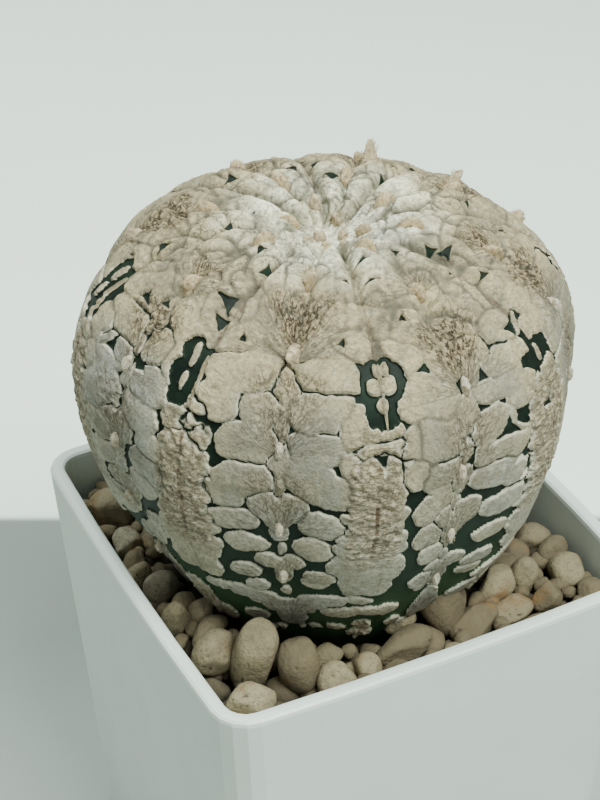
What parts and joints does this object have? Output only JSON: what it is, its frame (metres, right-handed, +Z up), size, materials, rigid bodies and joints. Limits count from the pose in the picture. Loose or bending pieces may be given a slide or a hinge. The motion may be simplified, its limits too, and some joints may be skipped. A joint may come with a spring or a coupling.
{
  "type": "potted cactus",
  "caption": "Ribbed globular cactus covered in thick white fleck plates, rooted in a tapered white square pot with a pebble top dressing.",
  "frame": {"origin": "centre of the pot's base, on the surface that the pot stands on", "axes": "+Z up, the pot's sides along X and Y, the plant's crown upwards"},
  "size_m": [0.0776, 0.0806, 0.1356],
  "materials": {
    "pot_plastic": "satin",
    "soil": "matte",
    "pebbles": "matte",
    "cactus_skin": "matte"
  },
  "bodies": {
    "root": {"pot": "pot_plastic", "growing_mix": "soil", "gravel": "pebbles", "cactus": "cactus_skin"}
  },
  "joints": []
}
